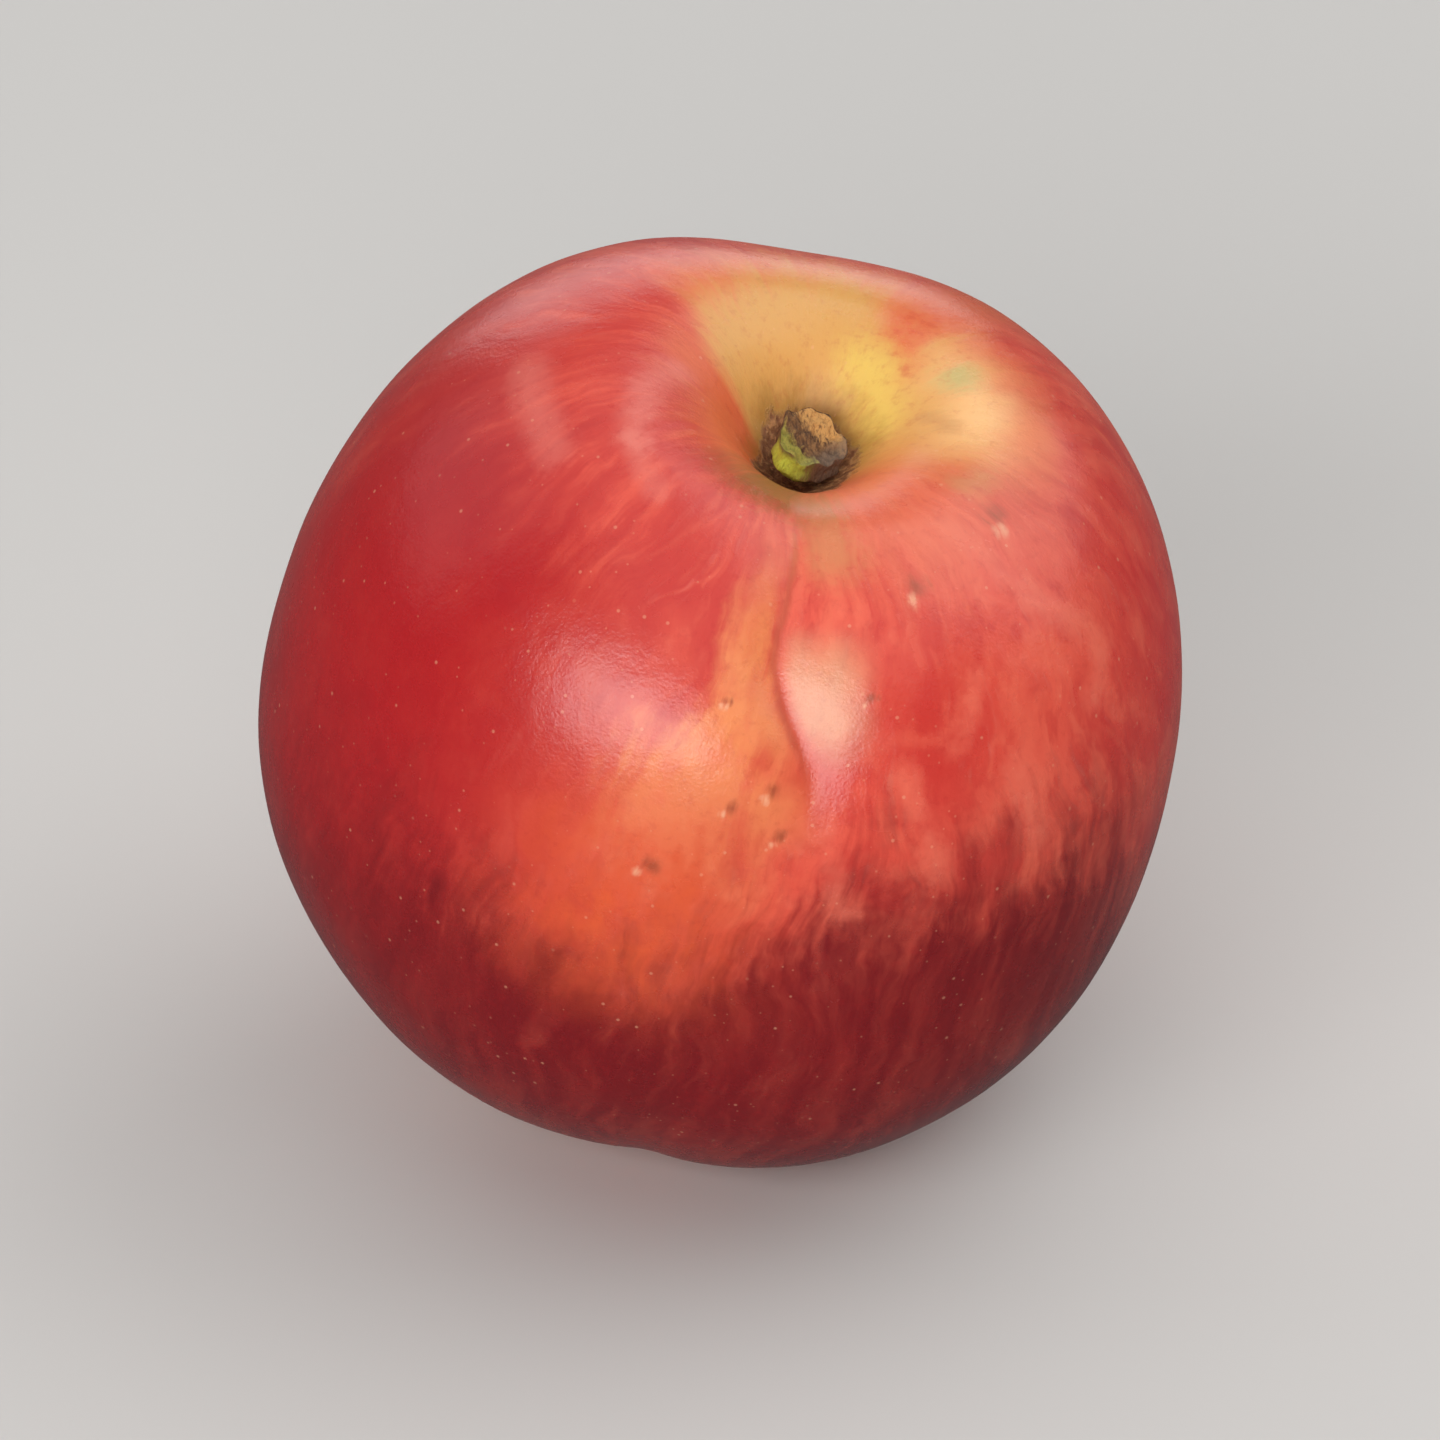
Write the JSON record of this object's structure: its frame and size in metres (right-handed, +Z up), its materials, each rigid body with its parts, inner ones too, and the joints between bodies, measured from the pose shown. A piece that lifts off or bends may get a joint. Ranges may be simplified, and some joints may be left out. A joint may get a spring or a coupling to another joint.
{
  "type": "nectarine",
  "caption": "Whole ripe nectarine with a seam, a funnel-shaped stem hollow and a broken stalk stub, resting on a small flat spot.",
  "frame": {"origin": "on the surface that the fruit rests on, under the middle of its box", "axes": "+Z up, -Y towards the side with the seam, +X towards the cheek that the stem end leans to"},
  "size_m": [0.0704, 0.07, 0.0684],
  "materials": {
    "skin": "smooth waxy fruit skin, satin sheen, crimson over orange and yellow with fine streaks and specks",
    "stalk": "dry rough bark with a paler torn end"
  },
  "bodies": {
    "root": {"fruit": "skin", "stalk_stub": "stalk"}
  },
  "joints": []
}
